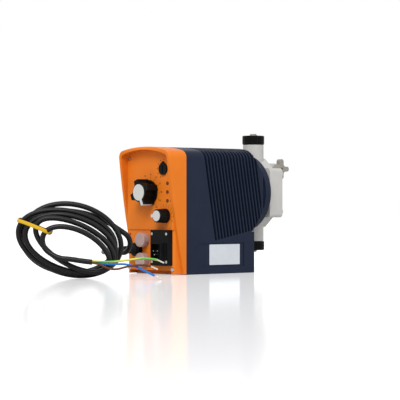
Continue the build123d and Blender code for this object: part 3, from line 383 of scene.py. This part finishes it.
def addCord(name, points, diameter, material, nodesReplaced):
    data = bpy.data.curves.new(name, "CURVE")
    data.dimensions = "3D"
    data.resolution_u = 10
    data.bevel_depth = diameter * mm / 2
    data.bevel_resolution = 5
    data.use_fill_caps = True
    spline = data.splines.new("NURBS")
    spline.points.add(len(points) - 1)
    for point, place in zip(spline.points, points):
        point.co = (*place, 1)
    spline.order_u = 3
    spline.use_endpoint_u = True
    data.materials.append(material)
    piece = bpy.data.objects.new(name, data)
    bpy.context.scene.collection.objects.link(piece)
    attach(piece, "pump_body")
    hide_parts(*nodesReplaced)
    return piece


sheathFinish = rubberSheath("cableSheath")
leadStart = at(-26.5, -30, 34)
leadRoute = [(45.0, -147.7, 34.0), (36.6, -134.1, 33.5), (31.3, -114.8, 32.0), (38.0, -86.0, 33.0),
             (50.5, -58.0, 35.5), (59.5, -44.0, 33.0), (66.0, -35.5, 33.5), (70.7, -29.5, 38.5),
             (72.8, -25.2, 47.0), (69.3, -22.0, 56.0)]
tailRoute = [(-29.0, 21.5, 33.2), (-17.0, 24.0, 27.4), (-3.0, 24.4, 26.6), (11.0, 24.2, 24.2),
             (25.0, 24.2, 22.6)]
route = [leadStart] + [hankPoint(*p) for p in leadRoute]
route += [hankPoint(*p) for p in hankTurns()] + [hankPoint(*p) for p in tailRoute]
mainsCable = addCord(
    "mainsCable", route, cable["diameter"], sheathFinish,
    ["mains_cable_lead", "mains_cable_coil", "mains_cable_tail"],
)
mainsLine = linePoints(mainsCable)
print("mains cable length", round(lengthOf(mainsLine), 4))

coreRoutes = {  # the last two points of each are the end of the insulation and the bare tip
    "coreGreenYellow": [(25.19, 24.2, 24.25), (34.13, 24.2, 23.23), (52, 25, 23.0), (77, 25, 26.3),
                        (96, 24, 28.2), (109, 23, 25.6), (118, 23, 21.4)],
    "coreBlue": [(24.91, 22.76, 21.78), (33.85, 22.76, 20.75), (48, 25, 19.8), (73, 26, 20.6),
                 (97, 28.8, 9.9), (106, 29.5, 5.2), (115, 30, 1.6)],
    "coreBrown": [(24.91, 25.64, 21.78), (33.85, 25.64, 20.75), (45, 29, 14.6), (57, 31, 13.2),
                  (71, 31, 17.6), (92, 30, 19.6), (101, 29.6, 17.4), (110, 29, 13.4)],
}
coreFinishes = {
    "coreGreenYellow": stripedCore("earthInsulation"),
    "coreBlue": mouldedPlastic("blueInsulation", (0.012, 0.16, 0.52), 0.35, 0.0008, 0.00002, 0.05),
    "coreBrown": mouldedPlastic("brownInsulation", (0.1, 0.028, 0.008), 0.35, 0.0008, 0.00002, 0.05),
}
coreNodes = {"coreGreenYellow": "core_green_yellow", "coreBlue": "core_blue", "coreBrown": "core_brown"}
tinFinish = turnedMetal("tinnedStrands", (0.72, 0.68, 0.6), 0.3, 0.0002, 0.00003)


def tinnedEnd(name, start, tip):
    # a bundle of strands: the ring's radius ripples six times round and winds along the wire
    sides = ringSteps["strands"]
    steps = np.linspace(-0.08, 1, 24)[:, None]
    part = np.array(start) + steps * (np.array(tip) - np.array(start))
    rows = len(part)
    every, faces = tubeAlong(part, np.full(rows, cable["tinned"] * mm / 2), sides)
    angles = np.linspace(0, 2 * np.pi, sides, endpoint=False)[None, :]
    wind = np.linspace(0, 2.2, rows)[:, None]
    ripple = 1 + 0.09 * np.cos(6 * (angles + wind))
    taper = np.interp(np.linspace(0, 1, rows), [0, 0.85, 1], [1, 0.95, 0.7])[:, None]
    shell = every[: rows * sides].reshape(rows, sides, 3)
    shell = part[:, None] + (shell - part[:, None]) * (ripple * taper)[..., None]
    every[: rows * sides] = shell.reshape(-1, 3)
    return addPiece(name, every, faces, tinFinish, "pump_body")


for name, points in coreRoutes.items():
    places = [hankPoint(*p) for p in points]
    core = addCord(name, places[:-1], cable["core"], coreFinishes[name], [coreNodes[name]])
    line = linePoints(core)
    tip = tinnedEnd(name + "Tin", line[-1], places[-1])
    print(name, "length", round(lengthOf(line), 4))


def cableTie():
    # a flat band round the strands: a rounded rectangle in the plane across them, swept over its width
    angle = math.radians(tie["angle"])
    radial = np.array([math.cos(angle), math.sin(angle)])
    across = np.array([-radial[1], radial[0]])
    origin = np.array([0.0, tie["centre"]])
    u = (mainsLine - np.array(hankPoint(0, 0, 0))) / mm
    turn = math.radians(hank["turn"])
    flat = np.stack([-u[:, 0] * math.sin(turn) + u[:, 1] * math.cos(turn), u[:, 2]], 1) - origin
    outward = u[:, 0] * math.cos(turn) + u[:, 1] * math.sin(turn)
    inBand = (abs(flat @ across) < tie["nearBand"]) & (flat @ radial > 0) & (abs(outward) < 30)
    reach = flat[inBand] @ radial
    room = cable["diameter"] / 2 + tie["room"]
    low, high = reach.min() - room, reach.max() + room
    near, far = outward[inBand].min() - room, outward[inBand].max() + room
    steps = np.linspace(0, 2 * np.pi, ringSteps["tie"], endpoint=False)
    power = tie["squareness"]
    ringR = (low + high) / 2 + (high - low) / 2 * np.sign(np.cos(steps)) * abs(np.cos(steps)) ** power
    ringW = (near + far) / 2 + (far - near) / 2 * np.sign(np.sin(steps)) * abs(np.sin(steps)) ** power
    widths = np.array([-2.2, -1.2, 0.0, 1.2, 2.2])
    crown = np.array([0.0, 0.35, 0.5, 0.35, 0.0])
    rows = []
    for width, swell in zip(widths, crown):
        grow = swell + 0.5
        r = ringR + grow * np.cos(steps)
        w = ringW + grow * np.sin(steps)
        wave = width + 0.5 * np.sin(3 * steps)
        place = origin[None] + r[:, None] * radial + wave[:, None] * across
        rows.append([hankPoint(a, o, z) for (a, z), o in zip(place, w)])
    points = np.array(rows).reshape(-1, 3)
    faces = ringFaces(len(widths), len(steps)).tolist()
    paper = mouldedPlastic("tiePaper", (0.6, 0.36, 0.015), 0.55, 0.001, 0.0001, 0.12)
    band = addPiece("cableTieBand", points, faces, paper, "pump_body")
    wall = band.modifiers.new("wall", "SOLIDIFY")
    wall.thickness = tie["wall"] * mm
    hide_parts("cable_tie")
    return band


tieBand = cableTie()
print("stage: cords")


printFinish = mouldedPlastic("panelPrint", (0.035, 0.012, 0.006), 0.5, 0.0006, 0.00001, 0.1)
marks = {"upper": -1.5, "thickness": 0.05, "lift": 0.02}


def addMarks(name, items):
    # each mark is a thin upright slab: middle x and z, width, height and turn clockwise in degrees
    items = np.array(items, float)
    turn = np.radians(items[:, 4])[:, None]
    corners = np.array([(-0.5, -0.5), (0.5, -0.5), (0.5, 0.5), (-0.5, 0.5)])
    dx = corners[None, :, 0] * items[:, 2:3]
    dz = corners[None, :, 1] * items[:, 3:4]
    x = items[:, 0:1] + dx * np.cos(turn) + dz * np.sin(turn)
    z = items[:, 1:2] - dx * np.sin(turn) + dz * np.cos(turn)
    back = marks["upper"] - marks["lift"]
    layers = [np.stack([x, np.full_like(x, y), z], -1) for y in (back - marks["thickness"], back)]
    points = np.concatenate(layers, 1).reshape(-1, 3)
    points = (points - np.array([0, panelToMiddle, 0])) * mm
    box = np.array([(0, 1, 2, 3), (7, 6, 5, 4), (4, 5, 1, 0), (5, 6, 2, 1), (6, 7, 3, 2), (7, 4, 0, 3)])
    faces = (box[None] + 8 * np.arange(len(items))[:, None, None]).reshape(-1, 4).tolist()
    return addPiece(name, points, faces, printFinish, "pump_body", smooth=False)


def ringOf(centre, radius, angles, width, height):
    # marks spread round a centre, each turned to point at it
    turns = np.radians(angles)
    xs = centre[0] + radius * np.sin(turns)
    zs = centre[1] + radius * np.cos(turns)
    return [(x, z, width, height, angle) for x, z, angle in zip(xs, zs, angles)]


def addNumbers(name, centre, radius, angles, texts, size):
    # printed numbers round a centre, each made a mesh and then stood on the panel, read from the front
    every, faces = [], []
    for angle, text in zip(np.radians(angles), texts):
        data = bpy.data.curves.new("number", "FONT")
        data.body = text
        data.size = size * mm
        data.align_x = "CENTER"
        data.align_y = "CENTER"
        data.extrude = marks["thickness"] * mm / 2
        probe = bpy.data.objects.new("probe", data)
        bpy.context.scene.collection.objects.link(probe)
        bpy.context.view_layer.update()
        mesh = bpy.data.meshes.new_from_object(probe.evaluated_get(bpy.context.evaluated_depsgraph_get()))
        bpy.data.objects.remove(probe)
        where = at(centre[0] + radius * math.sin(angle), marks["upper"] - marks["thickness"],
                   centre[1] + radius * math.cos(angle))
        mesh.transform(Matrix.Translation(where) @ Matrix.Rotation(math.radians(90), 4, "X"))
        faces += [[len(every) + v for v in face.vertices] for face in mesh.polygons]
        every += [v.co[:] for v in mesh.vertices]
        bpy.data.meshes.remove(mesh)
    return addPiece(name, every, faces, printFinish, "pump_body", smooth=False)


strokeAngles = np.arange(-135, 146, 28)
strokeScale = ringOf((0, axisHeight), 20.6, strokeAngles, 0.45, 2.6)
addNumbers("strokeNumbers", (0, axisHeight), 24.9, strokeAngles, [str(10 * k) for k in range(11)], 3.4)
frequencyAngles = np.arange(-40, 119, 22.6)
frequencyScale = ringOf((33.8, 81.3), 12.6, frequencyAngles, 0.45, 1.6)
addNumbers("frequencyNumbers", (33.8, 81.3), 15.4, frequencyAngles, [str(k) for k in range(1, 9)], 2.8)
dialScale = ringOf((29.7, 145.9), 13.2, [-148, -118, -88, -58, -28, 2, 32], 1.1, 2.0)
ledMarks = [(43.6, 114 + k * 12, 0.7, 3.0, 0) for k in (-1, 0, 1)]
addMarks("strokeScaleMarks", strokeScale)
addMarks("frequencyScaleMarks", frequencyScale)
addMarks("dialScaleMarks", dialScale)
addMarks("lampMarks", ledMarks)
print("stage: panel marks")


stageSet = {"floor": 6.0, "fill": 0.6, "keyPower": 32.0, "sidePower": 6.0}


def floorFinish():
    f = Finish("studioFloor")
    rays = f.tree.nodes.new("ShaderNodeLightPath")
    seen = Wire(f, rays.outputs["Is Camera Ray"])
    glossy = f.node("ShaderNodeBsdfPrincipled", None, {
        "Base Color": (0.8, 0.8, 0.81, 1), "Roughness": 0.12, "Specular IOR Level": 0.6,
    })
    glow = f.node("ShaderNodeEmission", None, {"Color": (1, 1, 1, 1), "Strength": 0.35})
    plain = f.node("ShaderNodeAddShader", None, {0: glossy, 1: glow})
    both = f.node("ShaderNodeMixShader", None, {0: seen, 1: glossy, 2: plain})
    f.tree.links.new(both.socket, f.output.inputs["Surface"])
    return f.material


def makeStage():
    half = stageSet["floor"]
    mesh = bpy.data.meshes.new("studioFloor")
    corners = [(-half, -half, 0), (half, -half, 0), (half, half, 0), (-half, half, 0)]
    mesh.from_pydata(corners, [], [(0, 1, 2, 3)])
    mesh.materials.append(floorFinish())
    ground = bpy.data.objects.new("studioFloor", mesh)
    bpy.context.scene.collection.objects.link(ground)

    world = bpy.data.worlds.new("studioWorld")
    bpy.context.scene.world = world
    world.use_nodes = True
    tree = world.node_tree
    tree.nodes.clear()
    out = tree.nodes.new("ShaderNodeOutputWorld")
    rays = tree.nodes.new("ShaderNodeLightPath")
    bright = tree.nodes.new("ShaderNodeBackground")
    bright.inputs["Color"].default_value = (1, 1, 1, 1)
    bright.inputs["Strength"].default_value = 1.0
    soft = tree.nodes.new("ShaderNodeBackground")
    soft.inputs["Color"].default_value = (1, 1, 1, 1)
    soft.inputs["Strength"].default_value = stageSet["fill"]
    largest = tree.nodes.new("ShaderNodeMath")
    largest.operation = "MAXIMUM"
    tree.links.new(rays.outputs["Is Camera Ray"], largest.inputs[0])
    tree.links.new(rays.outputs["Is Transmission Ray"], largest.inputs[1])
    glossier = tree.nodes.new("ShaderNodeMath")
    glossier.operation = "MAXIMUM"
    tree.links.new(largest.outputs[0], glossier.inputs[0])
    tree.links.new(rays.outputs["Is Glossy Ray"], glossier.inputs[1])
    mix = tree.nodes.new("ShaderNodeMixShader")
    tree.links.new(glossier.outputs[0], mix.inputs[0])
    tree.links.new(soft.outputs[0], mix.inputs[1])
    tree.links.new(bright.outputs[0], mix.inputs[2])
    tree.links.new(mix.outputs[0], out.inputs["Surface"])


def addLamp(name, place, target, size, power):
    light = bpy.data.lights.new(name, "AREA")
    light.shape = "DISK"
    light.size = size
    light.energy = power
    lamp = bpy.data.objects.new(name, light)
    lamp.location = place
    lamp.rotation_euler = (Vector(target) - Vector(place)).to_track_quat("-Z", "Y").to_euler()
    bpy.context.scene.collection.objects.link(lamp)


makeStage()
addLamp("keyLamp", (0.9, -1.5, 1.6), (0, -0.05, 0.08), 1.2, stageSet["keyPower"])
addLamp("sideLamp", (1.9, 0.1, 0.9), (0, 0, 0.08), 0.9, stageSet["sidePower"])
bpy.context.scene.view_settings.view_transform = "Standard"
print("stage: floor and lamps")
